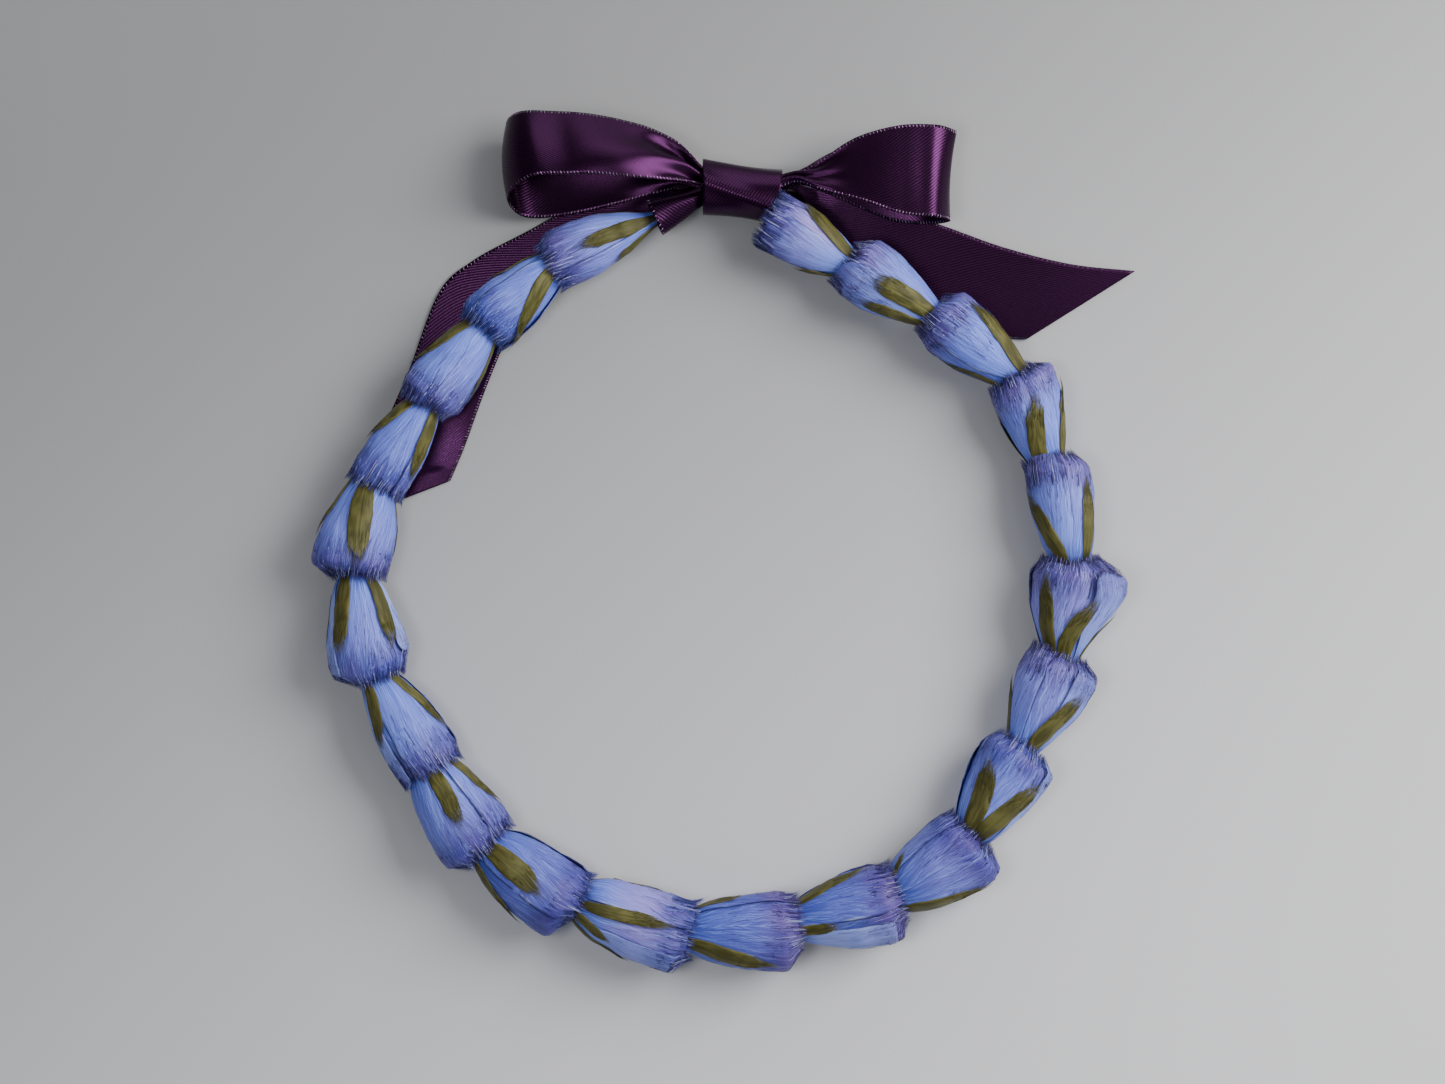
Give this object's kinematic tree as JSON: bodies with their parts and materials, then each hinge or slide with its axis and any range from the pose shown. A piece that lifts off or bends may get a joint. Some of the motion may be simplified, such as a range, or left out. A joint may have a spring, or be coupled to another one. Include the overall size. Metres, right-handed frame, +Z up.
{
  "type": "feather lei",
  "caption": "Ring of overlapping blue feather blossoms with green feather sepals on a cord, tied with a satin ribbon bow; worn as a lei or round a hat.",
  "frame": {"origin": "on the surface it lies on, under the middle of its bounding box", "axes": "+Z up out of the surface, +Y towards the bow, +X to the right seen from above"},
  "size_m": [0.2026, 0.2113, 0.0213],
  "materials": {
    "feather_blue": "soft dyed feather",
    "feather_green": "soft dyed feather",
    "ribbon": "satin weave",
    "cord": "twisted thread"
  },
  "bodies": {
    "root": {"blossom_01": "feather_blue", "blossom_02": "feather_blue", "blossom_03": "feather_blue", "blossom_04": "feather_blue", "blossom_05": "feather_blue", "blossom_06": "feather_blue", "blossom_07": "feather_blue", "blossom_08": "feather_blue", "blossom_09": "feather_blue", "blossom_10": "feather_blue", "blossom_11": "feather_blue", "blossom_12": "feather_blue", "blossom_13": "feather_blue", "blossom_14": "feather_blue", "blossom_15": "feather_blue", "blossom_16": "feather_blue", "blossom_17": "feather_blue", "blossom_18": "feather_blue", "blossom_19": "feather_blue", "blossom_20": "feather_blue", "blossom_21": "feather_blue", "sepals_01": "feather_green", "sepals_02": "feather_green", "sepals_03": "feather_green", "sepals_04": "feather_green", "sepals_05": "feather_green", "sepals_06": "feather_green", "sepals_07": "feather_green", "sepals_08": "feather_green", "sepals_09": "feather_green", "sepals_10": "feather_green", "sepals_11": "feather_green", "sepals_12": "feather_green", "sepals_13": "feather_green", "sepals_14": "feather_green", "sepals_15": "feather_green", "sepals_16": "feather_green", "sepals_17": "feather_green", "sepals_18": "feather_green", "sepals_19": "feather_green", "sepals_20": "feather_green", "sepals_21": "feather_green", "core_cord": "cord", "bow_knot": "ribbon", "bow_band": "ribbon", "bow_loop_left": "ribbon", "bow_loop_right": "ribbon", "bow_tail_left": "ribbon", "bow_tail_right": "ribbon"}
  },
  "joints": []
}
